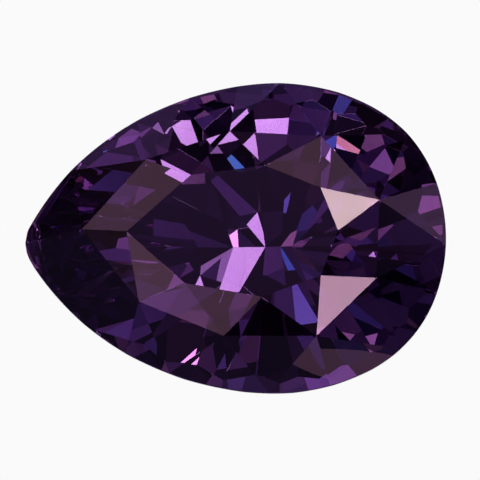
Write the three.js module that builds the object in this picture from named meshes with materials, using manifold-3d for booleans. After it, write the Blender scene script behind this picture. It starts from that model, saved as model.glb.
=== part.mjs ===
// A violet spinel, cut as a pear: a loose stone that lies on one facet of its underside.
// Millimetres, +Z up. The stone is worked out girdle level, point towards -X, then laid on that facet.
import * as THREE from 'three';
import { mergeVertices } from 'three/addons/utils/BufferGeometryUtils.js';
import Module from 'manifold-3d';

const wasm = await Module();
wasm.setup();

// The outline: half a pear as arcs that run into each other, from the round end to the point
const ROUND_END_X = 4.68;
const ARC_RADII = [4.07, 3.26, 4.96, 7.35, 6.39, 0.81];
const ARC_TURNS = [20.5, 43.4, 30.2, 25.6, 30.2, 30.1];
const STEPS_PER_TURN = 240;

// Heights above and below the upper edge of the girdle, and the middle that azimuths are counted from
const TABLE_HEIGHT = 1.28;
const GIRDLE_THICKNESS = 0.2;
const MIDDLE_X = 0.95;

// The table: eight corners, counted from the one nearest the round end
const TABLE = [
  [2.1, -0.05],
  [1.71, 0.98],
  [0.4, 1.54],
  [-1.35, 1.35],
  [-2.89, 0.05],
  [-1.55, -1.21],
  [0.26, -1.59],
  [1.66, -1.11],
];

// The crown, tip by tip round the stone. beside: table corners that the star's tip lies outside of.
// mid: azimuth of the girdle corner under the tip. next: azimuth of the girdle corner before the next tip.
// shared: table corner that the tip shares with the next one.
const CROWN = [
  { tip: [3.1, 0.71, 0.89], beside: [0, 1], mid: 18.8, next: 39.9, shared: 1 },
  { tip: [1.76, 2.27, 0.89], beside: [1, 2], mid: 69.4, next: 91.8, shared: 2 },
  { tip: [-0.4, 2.45, 0.83], beside: [2, 3], mid: 107.4, next: 123.7, shared: 3 },
  { tip: [-2.41, 1.81, 0.86], beside: [3, 4], mid: 140.9, next: 161.5, shared: 4 },
  { tip: [-3.95, 0.18, 0.91], beside: [], mid: 180, next: 192.4, shared: 4 },
  { tip: [-2.64, -1.57, 0.85], beside: [4, 5], mid: 214, next: 227.5, shared: 5 },
  { tip: [-0.66, -2.43, 0.82], beside: [5, 6], mid: 246.8, next: 261.1, shared: 6 },
  { tip: [1.53, -2.49, 0.86], beside: [6, 7], mid: 283.9, next: 313, shared: 7 },
  { tip: [2.98, -1.15, 0.89], beside: [7, 0], mid: 337.9, next: 355.7, shared: 0 },
];

// The pavilion: rows of facets, alike on both sides. Azimuths and slopes in degrees, spreads in millimetres.
// The steep girdle row runs evenly round the foot of the girdle. Under it the long facets meet in the culet
// and along a keel that runs to the point, with a short facet between each two of them.
// A row's spread is how far outside the girdle's foot its planes would reach. More leaves a taller row above.
const GIRDLE_ROW_STEP = 11.5;
const GIRDLE_ROW_END = 138;
const GIRDLE_ROW_SLOPE = 60;
const LONG_AZIMUTHS = [0, 22, 38, 52, 65, 78, 90, 102, 114, 125];
const LONG_SLOPE = 41.5;
const LONG_SPREAD = 0.28;
const SHORT_SLOPE = 47;
const SHORT_SPREAD = 0.1;
const POINT_SLOPE = 62;
const POINT_SPREAD = -0.1;

// The facet that the stone lies on: one of the long ones
const REST_AZIMUTH = -102;

// Corners nearer to each other than this are one corner, where several facets meet
const MEET = 0.004;

// The block that takes a facet away is larger than the stone
const BLOCK = 40;

const FINISH = { color: 0x3a2354, roughness: 0.04, metalness: 0 };

const UP = new THREE.Vector3(0, 0, 1);
const DOWN = new THREE.Vector3(0, 0, -1);

// Half of the outline is a chain of arcs, each starting along the end of the last. The other half mirrors it.
function pearOutline() {
  const scale = 180 / ARC_TURNS.reduce((sum, turn) => sum + turn, 0);
  const upper = [new THREE.Vector2(ROUND_END_X, 0)];
  let heading = 0;
  ARC_RADII.forEach((radius, i) => {
    const start = upper[upper.length - 1];
    const turn = THREE.MathUtils.degToRad(ARC_TURNS[i] * scale);
    const centre = start.clone().sub(polar(radius, heading));
    const steps = Math.round((STEPS_PER_TURN * turn) / (2 * Math.PI));
    for (let k = 1; k <= steps; k += 1) {
      upper.push(centre.clone().add(polar(radius, heading + (turn * k) / steps)));
    }
    heading += turn;
  });
  upper[upper.length - 1].y = 0;
  const lower = upper.slice(1, -1).map((p) => new THREE.Vector2(p.x, -p.y)).reverse();
  return upper.concat(lower);
}

function polar(radius, angle) {
  return new THREE.Vector2(radius * Math.cos(angle), radius * Math.sin(angle));
}

// Where the line from the middle at an azimuth meets the outline, as a corner of the girdle's upper edge
function girdleCorner(outline, azimuth) {
  const middle = new THREE.Vector2(MIDDLE_X, 0);
  const ray = polar(1, THREE.MathUtils.degToRad(azimuth));
  for (let i = 0; i < outline.length; i += 1) {
    const a = outline[i].clone().sub(middle);
    const b = outline[(i + 1) % outline.length].clone().sub(middle);
    if (ray.cross(a) <= 0 && ray.cross(b) > 0 && ray.dot(a) + ray.dot(b) > 0) {
      const share = ray.cross(a) / (ray.cross(a) - ray.cross(b));
      const p = a.lerp(b, share).add(middle);
      return new THREE.Vector3(p.x, p.y, 0);
    }
  }
  throw new Error(`no girdle corner at ${azimuth}`);
}

// A crown facet lies in the plane of three of its corners, faced up
function facetThrough(a, b, c) {
  const plane = new THREE.Plane().setFromCoplanarPoints(a, b, c);
  return plane.normal.z < 0 ? plane.negate() : plane;
}

function crownFacets(outline) {
  const table = TABLE.map(([x, y]) => new THREE.Vector3(x, y, TABLE_HEIGHT));
  const tips = CROWN.map(({ tip }) => new THREE.Vector3(...tip));
  const facets = [];
  CROWN.forEach(({ beside, mid, next, shared }, i) => {
    const before = CROWN[(i + CROWN.length - 1) % CROWN.length].next;
    const tip = tips[i];
    const nextTip = tips[(i + 1) % tips.length];
    const cornerBefore = girdleCorner(outline, before);
    const cornerMid = girdleCorner(outline, mid);
    const cornerNext = girdleCorner(outline, next);
    if (beside.length === 2) facets.push(facetThrough(table[beside[0]], table[beside[1]], tip));
    facets.push(facetThrough(table[shared], tip, nextTip));
    facets.push(facetThrough(tip, nextTip, cornerNext));
    facets.push(facetThrough(tip, cornerBefore, cornerMid));
    facets.push(facetThrough(tip, cornerMid, cornerNext));
  });
  return facets;
}

// A pavilion facet faces out and down at its azimuth. At the girdle's foot it touches the outline, moved out
// by spread.
function pavilionFacet(outline, azimuth, slope, spread) {
  const a = THREE.MathUtils.degToRad(azimuth);
  const s = THREE.MathUtils.degToRad(slope);
  const out = polar(1, a);
  const reach = Math.max(...outline.map((p) => p.dot(out))) + spread;
  const normal = new THREE.Vector3(Math.sin(s) * out.x, Math.sin(s) * out.y, -Math.cos(s));
  const touch = new THREE.Vector3(reach * out.x, reach * out.y, -GIRDLE_THICKNESS);
  return new THREE.Plane().setFromNormalAndCoplanarPoint(normal, touch);
}

function bothSides(azimuth) {
  return azimuth === 0 ? [0] : [azimuth, -azimuth];
}

function row(outline, azimuths, slope, spread) {
  return azimuths.flatMap(bothSides).map((azimuth) => pavilionFacet(outline, azimuth, slope, spread));
}

function pavilionFacets(outline) {
  const shortAzimuths = LONG_AZIMUTHS.slice(1).map((azimuth, i) => (azimuth + LONG_AZIMUTHS[i]) / 2);
  const girdleRowCount = GIRDLE_ROW_END / GIRDLE_ROW_STEP + 1;
  const girdleRow = Array.from({ length: girdleRowCount }, (_, k) => k * GIRDLE_ROW_STEP);
  return [
    ...row(outline, LONG_AZIMUTHS, LONG_SLOPE, LONG_SPREAD),
    ...row(outline, shortAzimuths, SHORT_SLOPE, SHORT_SPREAD),
    ...row(outline, girdleRow, GIRDLE_ROW_SLOPE, 0),
    pavilionFacet(outline, 180, POINT_SLOPE, POINT_SPREAD),
  ];
}

// A closed mesh with shared corners as a solid that can be cut
function solidOf(geometry) {
  geometry.deleteAttribute('normal');
  geometry.deleteAttribute('uv');
  const merged = mergeVertices(geometry);
  const vertProperties = new Float32Array(merged.attributes.position.array);
  const triVerts = new Uint32Array(merged.index.array);
  return new wasm.Manifold(new wasm.Mesh({ numProp: 3, vertProperties, triVerts }));
}

// The straight-sided blank that the facets are ground into: the outline, from below the culet up to the table
function blank(outline) {
  const bottom = -ROUND_END_X;
  const shape = new THREE.Shape(outline);
  const geometry = new THREE.ExtrudeGeometry(shape, { depth: TABLE_HEIGHT - bottom, bevelEnabled: false });
  geometry.translate(0, 0, bottom);
  return solidOf(geometry);
}

// What grinding one facet takes away: a block whose inner face lies in the facet's plane
function groundAway(plane) {
  const geometry = new THREE.BoxGeometry(BLOCK, BLOCK, BLOCK);
  geometry.translate(0, 0, BLOCK / 2);
  geometry.applyQuaternion(new THREE.Quaternion().setFromUnitVectors(UP, plane.normal));
  geometry.translate(...plane.normal.clone().multiplyScalar(-plane.constant));
  return solidOf(geometry);
}

function geometryOf(solid) {
  const { vertProperties, triVerts } = solid.getMesh();
  const raw = new THREE.BufferGeometry();
  raw.setAttribute('position', new THREE.BufferAttribute(new Float32Array(vertProperties), 3));
  raw.setIndex(new THREE.BufferAttribute(new Uint32Array(triVerts), 1));
  const met = mergeVertices(raw, MEET);
  const corners = met.index.array;
  const whole = [];
  for (let t = 0; t < corners.length; t += 3) {
    const [a, b, c] = corners.slice(t, t + 3);
    if (a !== b && b !== c && c !== a) whole.push(a, b, c);
  }
  met.setIndex(whole);
  return met;
}

function cutStone() {
  const outline = pearOutline();
  const facets = [...crownFacets(outline), ...pavilionFacets(outline)];
  return geometryOf(facets.reduce((stone, plane) => stone.subtract(groundAway(plane)), blank(outline)));
}

// Laid down: the resting facet is turned to face straight down, and the middle of the base is the origin
function layDown(stone) {
  const rest = pavilionFacet(pearOutline(), REST_AZIMUTH, LONG_SLOPE, LONG_SPREAD);
  stone.quaternion.setFromUnitVectors(rest.normal, DOWN);
  stone.updateMatrixWorld(true);
  const box = new THREE.Box3().setFromObject(stone, true);
  const centre = box.getCenter(new THREE.Vector3());
  stone.position.set(-centre.x, -centre.y, -box.min.z);
}

const spinel = new THREE.Mesh(cutStone(), new THREE.MeshStandardMaterial({ ...FINISH, flatShading: true }));
spinel.name = 'spinel_stone';
layDown(spinel);

const part = new THREE.Group();
part.add(spinel);

export default part;
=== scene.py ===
# %% [markdown]
# # A violet spinel, cut as a pear
# The stone is one clear crystal, about 10 mm long, ground all over into small flat facets. Almost
# everything that makes it look like a gem happens inside it: light goes in through the top, is thrown
# back by the facets underneath, and comes out again coloured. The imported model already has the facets.
# So this lesson spends little on the shape, and much on the edges, the crystal and the light around it.

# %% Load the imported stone
import math

import bmesh
import bpy
import numpy as np
from mathutils import Matrix, Vector


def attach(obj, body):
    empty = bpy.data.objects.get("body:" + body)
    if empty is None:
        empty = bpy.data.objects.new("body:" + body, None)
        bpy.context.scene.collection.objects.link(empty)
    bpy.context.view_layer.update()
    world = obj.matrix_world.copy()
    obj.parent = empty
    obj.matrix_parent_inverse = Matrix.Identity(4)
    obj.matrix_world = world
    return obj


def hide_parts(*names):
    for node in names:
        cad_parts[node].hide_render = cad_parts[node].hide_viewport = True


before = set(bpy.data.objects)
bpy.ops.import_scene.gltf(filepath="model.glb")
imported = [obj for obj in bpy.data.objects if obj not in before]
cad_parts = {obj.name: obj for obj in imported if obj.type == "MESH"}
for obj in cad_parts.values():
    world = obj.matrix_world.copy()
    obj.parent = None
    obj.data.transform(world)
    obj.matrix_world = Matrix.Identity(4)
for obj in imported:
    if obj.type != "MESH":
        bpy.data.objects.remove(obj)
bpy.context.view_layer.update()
MM = 0.001
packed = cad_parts["spinel_stone"]

# %% [markdown]
# ## Which way the stone lies
# A cut stone is drawn with its table, the big flat facet, level. This one lies on a facet of its
# underside, so the table leans. The lean could be read off the mesh, but it is simpler to repeat what the
# model does: the shortest turn that brings the resting facet to face straight down. The camera and the
# lamps are then placed in the stone's own axes, where the photograph is easy to think about.

# %% The stone's own axes: towards the round end, to the side, and out of the table
REST_AZIMUTH = math.radians(-102)
REST_SLOPE = math.radians(41.5)

rest_facing = Vector((
    math.sin(REST_SLOPE) * math.cos(REST_AZIMUTH),
    math.sin(REST_SLOPE) * math.sin(REST_AZIMUTH),
    -math.cos(REST_SLOPE),
))
lay = rest_facing.rotation_difference(Vector((0, 0, -1)))
AXES = np.array([lay @ Vector(axis) for axis in ((1, 0, 0), (0, 1, 0), (0, 0, 1))])


def lean(direction):
    """A direction in the stone's own axes, turned into a direction in the scene."""
    return Vector(np.array(direction) @ AXES).normalized()


print("the table faces", [round(part, 3) for part in lean((0, 0, 1))])

# %% [markdown]
# The zero point of those axes is the middle of the girdle, the rim between top and underside. It is found
# from how far the mesh reaches along each axis: the round end, the two sides and the table are known.

# %% The middle of the girdle
ROUND_END = 4.68 * MM
TABLE_HEIGHT = 1.28 * MM


def corners_of(mesh):
    """All corners of a mesh as one array, a row for each corner."""
    flat = np.empty(3 * len(mesh.vertices))
    mesh.vertices.foreach_get("co", flat)
    return flat.reshape(-1, 3)


along = corners_of(packed.data) @ AXES.T
middle = np.array([
    along[:, 0].max() - ROUND_END,
    (along[:, 1].max() + along[:, 1].min()) / 2,
    along[:, 2].max() - TABLE_HEIGHT,
]) @ AXES
print("middle of the girdle, mm:", (middle / MM).round(3))

# %% [markdown]
# ## The facets
# On the real stone each facet is one flat mirror, polished on a wheel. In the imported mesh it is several
# triangles with corners of their own. A copy is made, corners that lie together become one, and triangles
# that face the same way are joined into one flat face. Smooth shading would bend the mirrors, so every
# face stays flat.

# %% A copy with shared corners and one face for each facet
MERGE = 0.002 * MM
SAME_FACET = math.radians(0.4)

shape = bmesh.new()
shape.from_mesh(packed.data)
bmesh.ops.remove_doubles(shape, verts=shape.verts, dist=MERGE)
bmesh.ops.dissolve_limit(shape, angle_limit=SAME_FACET, verts=shape.verts, edges=shape.edges)
print("faces:", len(shape.faces), "edges:", len(shape.edges))

# %% [markdown]
# ## The edges
# No ground edge is a perfect knife edge. Each long edge loses a strip a few thousandths of a millimetre
# wide, which now and then catches a lamp. A bevel modifier could do it, but it tangles where many short
# edges meet. The stone bulges outwards everywhere, so each strip can be one straight cut right through
# it, and the hole that the cut leaves is closed by one new face. Where a neighbouring facet lies almost
# in the plane of the cut, the cut would round off a whole corner, so that edge stays sharp.

# %% Where an edge is cut
EDGE_WIDTH = 0.003 * MM


def edge_cut(edge):
    """A point and a facing of the plane that cuts a strip off an edge. With the angle t between the two
    facets' facings, a strip as wide as w lies w * tan(t / 2) / 2 under the edge."""
    facing = sum((face.normal for face in edge.link_faces), Vector()).normalized()
    depth = EDGE_WIDTH * math.tan(edge.calc_face_angle() / 2) / 2
    return (edge.verts[0].co + edge.verts[1].co) / 2 - facing * depth, facing


def side_cut(edge, point, facing):
    """How much of the other edges at its two ends a cut takes away, at most."""
    longest = 0
    for end in edge.verts:
        above = (end.co - point).dot(facing)
        for other in end.link_edges:
            below = (point - other.other_vert(end).co).dot(facing)
            if other != edge and above > 0:
                longest = max(longest, other.calc_length() * above / (above + max(below, 0)))
    return longest


# %% Choose the edges
SHORTEST_EDGE = 0.03 * MM
LONGEST_SIDE_CUT = 0.03 * MM
SHARPER_THAN = math.radians(3)

shape.normal_update()
cuts = []
for edge in shape.edges:
    if edge.calc_face_angle() > SHARPER_THAN and edge.calc_length() > SHORTEST_EDGE:
        point, facing = edge_cut(edge)
        if side_cut(edge, point, facing) < LONGEST_SIDE_CUT:
            cuts.append((point, facing))
print("edges to cut:", len(cuts), "of", len(shape.edges))

# %% Cut the strips
SAME_PLACE = 1e-9

for point, facing in cuts:
    parts = shape.verts[:] + shape.edges[:] + shape.faces[:]
    cut = bmesh.ops.bisect_plane(
        shape, geom=parts, dist=SAME_PLACE, plane_co=point, plane_no=facing, clear_outer=True
    )
    rim = [part for part in cut["geom_cut"] if isinstance(part, bmesh.types.BMEdge)]
    bmesh.ops.holes_fill(shape, edges=rim)
bmesh.ops.recalc_face_normals(shape, faces=shape.faces)
print("faces:", len(shape.faces), "open edges:", sum(not edge.is_manifold for edge in shape.edges))

# %% [markdown]
# The finished shape becomes one object, because the stone is one piece. It rides on the body that the
# imported model calls root, and stands in for the imported mesh.

# %% The stone as an object
stone_mesh = bpy.data.meshes.new("cut_spinel")
shape.to_mesh(stone_mesh)
shape.free()
stone = bpy.data.objects.new("cut_spinel", stone_mesh)
bpy.context.scene.collection.objects.link(stone)
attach(stone, "root")
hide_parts("spinel_stone")
print("corners:", len(stone_mesh.vertices))

# %% [markdown]
# ## The girdle
# The rim that a setting grips is often left finely ground instead of polished, so it is a little matt.
# It is the same crystal, so it needs no material of its own: its faces are marked by a number on the
# mesh, 1 on the rim and 0 elsewhere, and the material reads that number for its roughness.

# %% Mark the faces that stand straight up in the stone's own axes
UPRIGHT_WITHIN = 0.02

facings = np.empty(3 * len(stone_mesh.polygons))
stone_mesh.polygons.foreach_get("normal", facings)
upright = np.abs(facings.reshape(-1, 3) @ AXES[2]) < UPRIGHT_WITHIN
ground = stone_mesh.attributes.new("ground", "FLOAT", "FACE")
ground.data.foreach_set("value", upright.astype(float))
print("faces on the rim:", int(upright.sum()))

# %% [markdown]
# ## The crystal
# Spinel bends light by 1.718, more than glass, and that is what makes the underside throw light back.
# The violet isn't paint: white light loses a little of itself in each millimetre of crystal, most of it
# green. So the surface is left clear, and the colour is in the absorption, worked out from the loss of
# red, green and blue for each millimetre.

# %% Clear violet crystal
SPINEL_IOR = 1.718
LOSS_PER_MM = np.array([0.146, 0.195, 0.122])

crystal = bpy.data.materials.new("violet_spinel")
crystal.use_nodes = True
nodes, links = crystal.node_tree.nodes, crystal.node_tree.links
surface = nodes["Principled BSDF"]
surface.inputs["IOR"].default_value = SPINEL_IOR
surface.inputs["Transmission Weight"].default_value = 1.0

loss = nodes.new("ShaderNodeVolumeAbsorption")
density = LOSS_PER_MM.max() / MM
loss.inputs["Density"].default_value = density
loss.inputs["Color"].default_value = (*(1 - LOSS_PER_MM / MM / density), 1)
links.new(loss.outputs["Volume"], nodes["Material Output"].inputs["Volume"])
stone_mesh.materials.append(crystal)
print("light left after 5 mm:", np.exp(-5 * LOSS_PER_MM).round(2))

# %% [markdown]
# The polished facets are as smooth as mirrors. Only the rim is rough, by the number that its faces carry.

# %% Polished facets, finely ground rim
RIM_ROUGHNESS = 0.3

mark = nodes.new("ShaderNodeAttribute")
mark.attribute_name = "ground"
rough = nodes.new("ShaderNodeMath")
rough.operation = "MULTIPLY"
rough.inputs[1].default_value = RIM_ROUGHNESS
links.new(mark.outputs["Fac"], rough.inputs[0])
links.new(rough.outputs["Value"], surface.inputs["Roughness"])
print("roughness of the rim:", RIM_ROUGHNESS)

# %% [markdown]
# A crystal grows in layers that take up a little more or less of what colours them. Bands less than a
# millimetre apart, slightly bent by noise, tint the light by a few hundredths where it goes in and out.

# %% Growth bands
BAND_SCALE = 0.35
BAND_TURN = (0.4, 0.9, 0.3)
BAND_BEND = 1.5
BEND_SCALE = 0.6
CLEAREST = (1, 1, 1, 1)
STRONGEST = (0.93, 0.87, 0.96, 1)

place = nodes.new("ShaderNodeTexCoord")
in_mm = nodes.new("ShaderNodeMapping")
in_mm.inputs["Scale"].default_value = (1 / MM,) * 3
in_mm.inputs["Rotation"].default_value = BAND_TURN
bands = nodes.new("ShaderNodeTexWave")
bands.inputs["Scale"].default_value = BAND_SCALE
bands.inputs["Distortion"].default_value = BAND_BEND
bands.inputs["Detail Scale"].default_value = BEND_SCALE
tint = nodes.new("ShaderNodeValToRGB")
tint.color_ramp.elements[0].color = CLEAREST
tint.color_ramp.elements[1].color = STRONGEST
links.new(place.outputs["Object"], in_mm.inputs["Vector"])
links.new(in_mm.outputs["Vector"], bands.inputs["Vector"])
links.new(bands.outputs["Fac"], tint.inputs["Fac"])
links.new(tint.outputs["Color"], surface.inputs["Base Color"])
print("crystal nodes:", len(nodes))

# %% [markdown]
# ## The ground
# The photograph's ground is an even pale white. A white ground that the stone could see would shine up
# through its underside and fill every dark facet with grey. Photographers of stones keep the white away
# from the stone for that reason. Here one sheet does both: it asks whether the ray that hits it comes
# straight from the camera, shows white if so, and is a dim violet for light that went through the stone.
# It lies a hair under the resting facet, because two faces in exactly the same place flicker.

# %% The sheet that the stone lies on
GROUND_RADIUS = 300 * MM
GROUND_CORNERS = 96
AIR_GAP = 0.02 * MM

round_the_edge = np.linspace(0, 2 * np.pi, GROUND_CORNERS, endpoint=False)
ground_mesh = bpy.data.meshes.new("ground_sheet")
ground_mesh.from_pydata(
    np.c_[
        GROUND_RADIUS * np.cos(round_the_edge),
        GROUND_RADIUS * np.sin(round_the_edge),
        np.full_like(round_the_edge, -AIR_GAP),
    ],
    [],
    [range(GROUND_CORNERS)],
)
floor = bpy.data.objects.new("ground_sheet", ground_mesh)
bpy.context.scene.collection.objects.link(floor)
print("ground, mm across:", 2 * GROUND_RADIUS / MM)

# %% [markdown]
# The two looks of the sheet are two plain glowing surfaces, and a mix of them switched by what kind of
# ray asks. A lit white surface would show a soft shadow, and the photograph's ground has none.

# %% White for the camera, dim violet for the stone
WHITE_GLOW = 0.955
SEEN_BY_STONE = (0.06, 0.035, 0.10, 1)

paper = bpy.data.materials.new("white_ground")
paper.use_nodes = True
nodes, links = paper.node_tree.nodes, paper.node_tree.links
nodes.clear()
from_camera = nodes.new("ShaderNodeLightPath")
white = nodes.new("ShaderNodeEmission")
white.inputs["Strength"].default_value = WHITE_GLOW
dim = nodes.new("ShaderNodeEmission")
dim.inputs["Color"].default_value = SEEN_BY_STONE
either = nodes.new("ShaderNodeMixShader")
output = nodes.new("ShaderNodeOutputMaterial")
links.new(from_camera.outputs["Is Camera Ray"], either.inputs[0])
links.new(dim.outputs["Emission"], either.inputs[1])
links.new(white.outputs["Emission"], either.inputs[2])
links.new(either.outputs["Shader"], output.inputs["Surface"])
ground_mesh.materials.append(paper)
print("the camera sees the ground at", WHITE_GLOW)

# %% [markdown]
# ## The camera
# In the photograph the long side of the stone runs level, and the table is seen almost square on: it
# tips back by 8 degrees, read from how far the table sits from the middle of the outline. So the camera
# looks down on the stone along its own upright axis, not along the scene's. The picture is turned by a
# little more than a degree, and the outline fills the same part of it as in the photograph.

# %% Camera at the photograph's viewing angle
TILT = math.radians(8)
ROLL = math.radians(-1.4)
PICTURE_MIDDLE = (-0.22 * MM, -0.043 * MM)
PICTURE_WIDTH = 11.41 * MM
CAMERA_DISTANCE = 150 * MM
NEAREST_SEEN = 10 * MM

to_camera = np.array([0, -math.sin(TILT), math.cos(TILT)])
level = np.array([1.0, 0, 0])
upward = np.cross(to_camera, level)
picture_right = math.cos(ROLL) * level + math.sin(ROLL) * upward
picture_up = math.cos(ROLL) * upward - math.sin(ROLL) * level
target = middle + (PICTURE_MIDDLE[0] * level + PICTURE_MIDDLE[1] * upward) @ AXES

lens = bpy.data.cameras.new("camera")
lens.lens = lens.sensor_width * CAMERA_DISTANCE / PICTURE_WIDTH
lens.clip_start = NEAREST_SEEN
camera = bpy.data.objects.new("camera", lens)
turn = Matrix([lean(picture_right), lean(picture_up), lean(to_camera)]).transposed().to_4x4()
camera.matrix_world = Matrix.Translation(Vector(target) + lean(to_camera) * CAMERA_DISTANCE) @ turn
bpy.context.scene.collection.objects.link(camera)
bpy.context.scene.camera = camera
print("lens, mm:", round(lens.lens), "camera height, mm:", round(camera.matrix_world.translation.z / MM))

# %% [markdown]
# ## The room
# A cut stone is a mirror box: each of its many small windows shows another part of the room. In an even
# room all windows look alike and the stone goes flat. So the room is made of clouds, nearly black with
# soft patches of violet light, and the facets cut it into the mosaic that the photograph shows. The
# camera itself sees a pale wall.

# %% A helper for colour ramps
world = bpy.data.worlds.new("room")
bpy.context.scene.world = world
world.use_nodes = True
nodes, links = world.node_tree.nodes, world.node_tree.links


def ramp(source, stops):
    """The colour for a number, read from a row of (number, colour) stops."""
    tones = nodes.new("ShaderNodeValToRGB")
    while len(tones.color_ramp.elements) < len(stops):
        tones.color_ramp.elements.new(0.5)
    for element, (number, colour) in zip(tones.color_ramp.elements, stops):
        element.position = number
        element.color = (*colour, 1)
    links.new(source, tones.inputs["Fac"])
    return tones.outputs["Color"]


print("the world is", world.name)

# %% [markdown]
# Two noises make the clouds. The finer one sets how bright each direction is, and the coarser one moves
# its colour from plum over violet to indigo. Several places in the noise were tried, and the one was kept
# whose mosaic of light and dark came nearest to the photograph.

# %% Clouds of light, and slower clouds that change their colour
CLOUD_SHIFT = (11, 15, 7)
CLOUD_SIZE = 4.5
HUE_SIZE = 2.1
CLOUD_LEVELS = [(0.46, (0.02,) * 3), (0.52, (0.14,) * 3), (0.59, (0.6,) * 3), (0.68, (1.5,) * 3)]
PLUM, VIOLET, INDIGO = (0.22, 0.09, 0.22), (0.18, 0.085, 0.29), (0.10, 0.08, 0.32)

direction = nodes.new("ShaderNodeTexCoord")
shift = nodes.new("ShaderNodeMapping")
shift.inputs["Location"].default_value = CLOUD_SHIFT
links.new(direction.outputs["Generated"], shift.inputs["Vector"])
clouds = nodes.new("ShaderNodeTexNoise")
clouds.inputs["Scale"].default_value = CLOUD_SIZE
hues = nodes.new("ShaderNodeTexNoise")
hues.inputs["Scale"].default_value = HUE_SIZE
for noise in (clouds, hues):
    links.new(shift.outputs["Vector"], noise.inputs["Vector"])
level_of_light = ramp(clouds.outputs["Fac"], CLOUD_LEVELS)
hue_of_light = ramp(hues.outputs["Fac"], [(0.40, PLUM), (0.52, VIOLET), (0.68, INDIGO)])
print("cloud stops:", len(CLOUD_LEVELS))

# %% [markdown]
# Brightness times colour is the light of a direction. As with the ground, the camera itself gets the
# pale look, and only light on its way through the stone meets the clouds.

# %% The stone sees the clouds, the camera sees a pale wall
PALE_WALL = (0.9, 0.9, 0.9, 1)

tinted = nodes.new("ShaderNodeMix")
tinted.data_type = "RGBA"
tinted.blend_type = "MULTIPLY"
tinted.inputs["Factor"].default_value = 1
links.new(level_of_light, tinted.inputs["A"])
links.new(hue_of_light, tinted.inputs["B"])
dark = nodes["Background"]
links.new(tinted.outputs["Result"], dark.inputs["Color"])
pale = nodes.new("ShaderNodeBackground")
pale.inputs["Color"].default_value = PALE_WALL
from_camera = nodes.new("ShaderNodeLightPath")
either = nodes.new("ShaderNodeMixShader")
links.new(from_camera.outputs["Is Camera Ray"], either.inputs[0])
links.new(dark.outputs["Background"], either.inputs[1])
links.new(pale.outputs["Background"], either.inputs[2])
links.new(either.outputs["Shader"], nodes["World Output"].inputs["Surface"])
print("room nodes:", len(nodes))

# %% [markdown]
# ## The lamps
# Every lamp is a round area lamp that faces the stone. What counts is not how much light it gives, but
# how bright it looks and how large, as the stone sees it, because the facets show it as it is. A lamp of
# radius r that looks as bright as b gives b times pi squared times r squared watts. Lamps far away are
# placed by two angles in the stone's own axes.

# %% A helper for one round lamp
def round_lamp(name, centre, facing, radius, brightness, colour):
    """A disk that gives off light towards one side. The camera doesn't see it."""
    light = bpy.data.lights.new(name, "AREA")
    light.shape = "DISK"
    light.size = 2 * radius
    light.color = colour
    light.energy = brightness * (math.pi * radius) ** 2
    lamp = bpy.data.objects.new(name, light)
    lamp.location = centre
    lamp.rotation_mode = "QUATERNION"
    lamp.rotation_quaternion = (-Vector(facing)).to_track_quat("Z", "Y")
    lamp.visible_camera = False
    bpy.context.scene.collection.objects.link(lamp)


# %% A helper for lamps far away
LAMP_DISTANCE = 600 * MM


def far_lamps(name, lamps, reach, brightness, colour):
    """Lamps that differ only in where they stand. A place is (turn, height): degrees round the stone,
    counted from its round end, and degrees above the girdle. Reach is half the width, in degrees."""
    for number, (turn_deg, height_deg) in enumerate(lamps):
        angle, height = math.radians(turn_deg), math.radians(height_deg)
        towards = lean((
            math.cos(angle) * math.cos(height), math.sin(angle) * math.cos(height), math.sin(height)
        ))
        centre = Vector(middle) + towards * LAMP_DISTANCE
        radius = LAMP_DISTANCE * math.tan(math.radians(reach))
        round_lamp(f"{name}_{number + 1}", centre, -towards, radius, brightness, colour)
    print(name, len(lamps))


print("lamps stand off, mm:", LAMP_DISTANCE / MM)

# %% [markdown]
# ### Lamps that a facet on top mirrors
# Two facets beside the table are bright pink triangles in the photograph: each mirrors a lamp straight
# into the camera. The lamp's place follows from the facet: the line to the camera, mirrored by it. Eight
# more facets mirror something large and dim, which lies over them as a brownish veil. A facet sends back
# only 7 parts in 100, so a veil's lamp is about 14 times as bright as the veil.

# %% The two bright triangles
far_lamps("upper_triangle", [(32, 51)], 3, 9, (1.00, 0.69, 0.76))
far_lamps("lower_triangle", [(-41, 49)], 3, 6.2, (1.00, 0.56, 0.80))

# %% The veils
VEIL = (1.00, 0.48, 0.82)

far_lamps("veil", [(71, 46), (124, 39), (-104, 49)], 9, 0.68, VEIL)
far_lamps("veil_by_the_point", [(-142, 50)], 8, 0.9, VEIL)
far_lamps("veil_by_the_upper_triangle", [(48, 37)], 7, 0.6, (1.00, 0.50, 0.95))
far_lamps("veil_at_the_round_end", [(15, 25)], 6, 0.6, (0.85, 0.42, 1))
far_lamps("faint_veil", [(-148, 41)], 5, 0.12, VEIL)

# %% [markdown]
# Three facets low on the near side mirror places close to the ground, where a far lamp would stand under
# it. There a small card does the work: one stands a little way off, one lies flat beside the stone.

# %% Cards near the ground
round_lamp("standing_card", Vector((-9.1, -20.4, 0.95)) * MM, (0.39, 0.92, 0), 2.5 * MM, 0.72, VEIL)
round_lamp("lying_card", Vector((4.1, -7.4, 0)) * MM, (0, 0, 1), 2.6 * MM, 0.5, (1.00, 0.45, 0.76))
print("cards: 2")

# %% [markdown]
# ### Lamps that come back as flashes
# A flash is a lamp seen through the table after two or more turns inside the stone. Light runs the same
# way back, so the places were found from the picture: a ray into the stone where the photograph has a
# flash comes out towards its lamp. Small lamps make crisp flashes, and they stand clear of every
# direction that a facet on top mirrors. The photographed flashes have red edges on one side and blue on
# the other, because the crystal bends blue light more than red. The renderer bends all light alike. So
# each lamp is a warm disk and a cool disk a little apart, which are lavender where they overlap.

# %% A helper for flashes
WARM, COOL = (0.87, 0.42, 0.40), (0.10, 0.30, 0.60)
APART_DEG = 0.2


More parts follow.
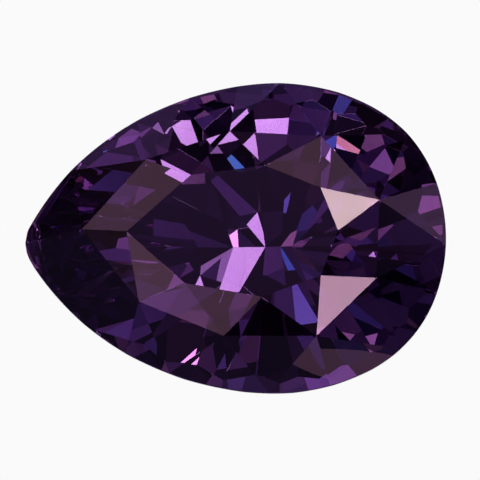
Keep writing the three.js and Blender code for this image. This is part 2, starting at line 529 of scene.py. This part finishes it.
def flashes(name, lamps, reach, brightness):
    """A warm and a cool lamp for each place, the cool one a little lower."""
    far_lamps(f"warm_{name}", lamps, reach, brightness, WARM)
    lower = [(turn_deg, height_deg - APART_DEG) for turn_deg, height_deg in lamps]
    far_lamps(f"cool_{name}", lower, reach, brightness, COOL)


print("warm and cool disks apart, degrees:", APART_DEG)

# %% [markdown]
# The flashes are grouped by where the photograph shows them. All are small, because a large lamp fills
# whole facets and the sparkle is lost.

# %% Lavender flashes
flashes("flash_over_the_culet", [(17, 57), (32, 62)], 2.8, 3.2)
flashes("flash_by_the_culet", [(-45, 62), (98, 74)], 2.5, 3.2)
flashes("flash_in_the_upper_arc", [(131, 53), (118, 52), (43, 67), (157, 62), (1, 76), (33, 75)], 2.5, 3.2)
flashes("flash_at_the_table", [(86, 77)], 1.5, 3.2)
flashes("flash_by_the_upper_veil", [(18, 70), (2, 55), (-5, 40)], 2.5, 3.2)
flashes("flash_at_the_rim", [(-24, 36), (11, 6), (35, 30)], 2.3, 3.0)
far_lamps("violet_flash", [(19, 46)], 2.5, 1.1, (0.9, 0.6, 1))

# %% [markdown]
# A few flashes are plain blue in the photograph, as where a stone faces a window, and the upper rim has
# an even violet glow. Both are lamps as well: small blue ones, and one wide dim one low on that side.

# %% Blue flashes
far_lamps("blue_flash", [(136, 66)], 1.8, 1.2, (0.12, 0.30, 1))
far_lamps("pale_blue_flash", [(173, 69), (-163, 67)], 1.6, 1.2, (0.35, 0.32, 1))

# %% The glow along the upper rim
far_lamps("rim_glow", [(115, 5)], 12, 0.42, (0.60, 0.26, 1))

# %% [markdown]
# ## How far light is followed
# Some light turns a dozen times inside the stone before it gets out. If it is given up too early those
# facets go black, so it is followed through 24 turns. The plain Standard view keeps the ground as pale
# as in the photograph.

# %% Turns and view
TURNS = 24

cycles = bpy.context.scene.cycles
cycles.max_bounces = TURNS
cycles.transmission_bounces = TURNS
cycles.glossy_bounces = TURNS
bpy.context.scene.view_settings.view_transform = "Standard"
print("turns followed:", TURNS)
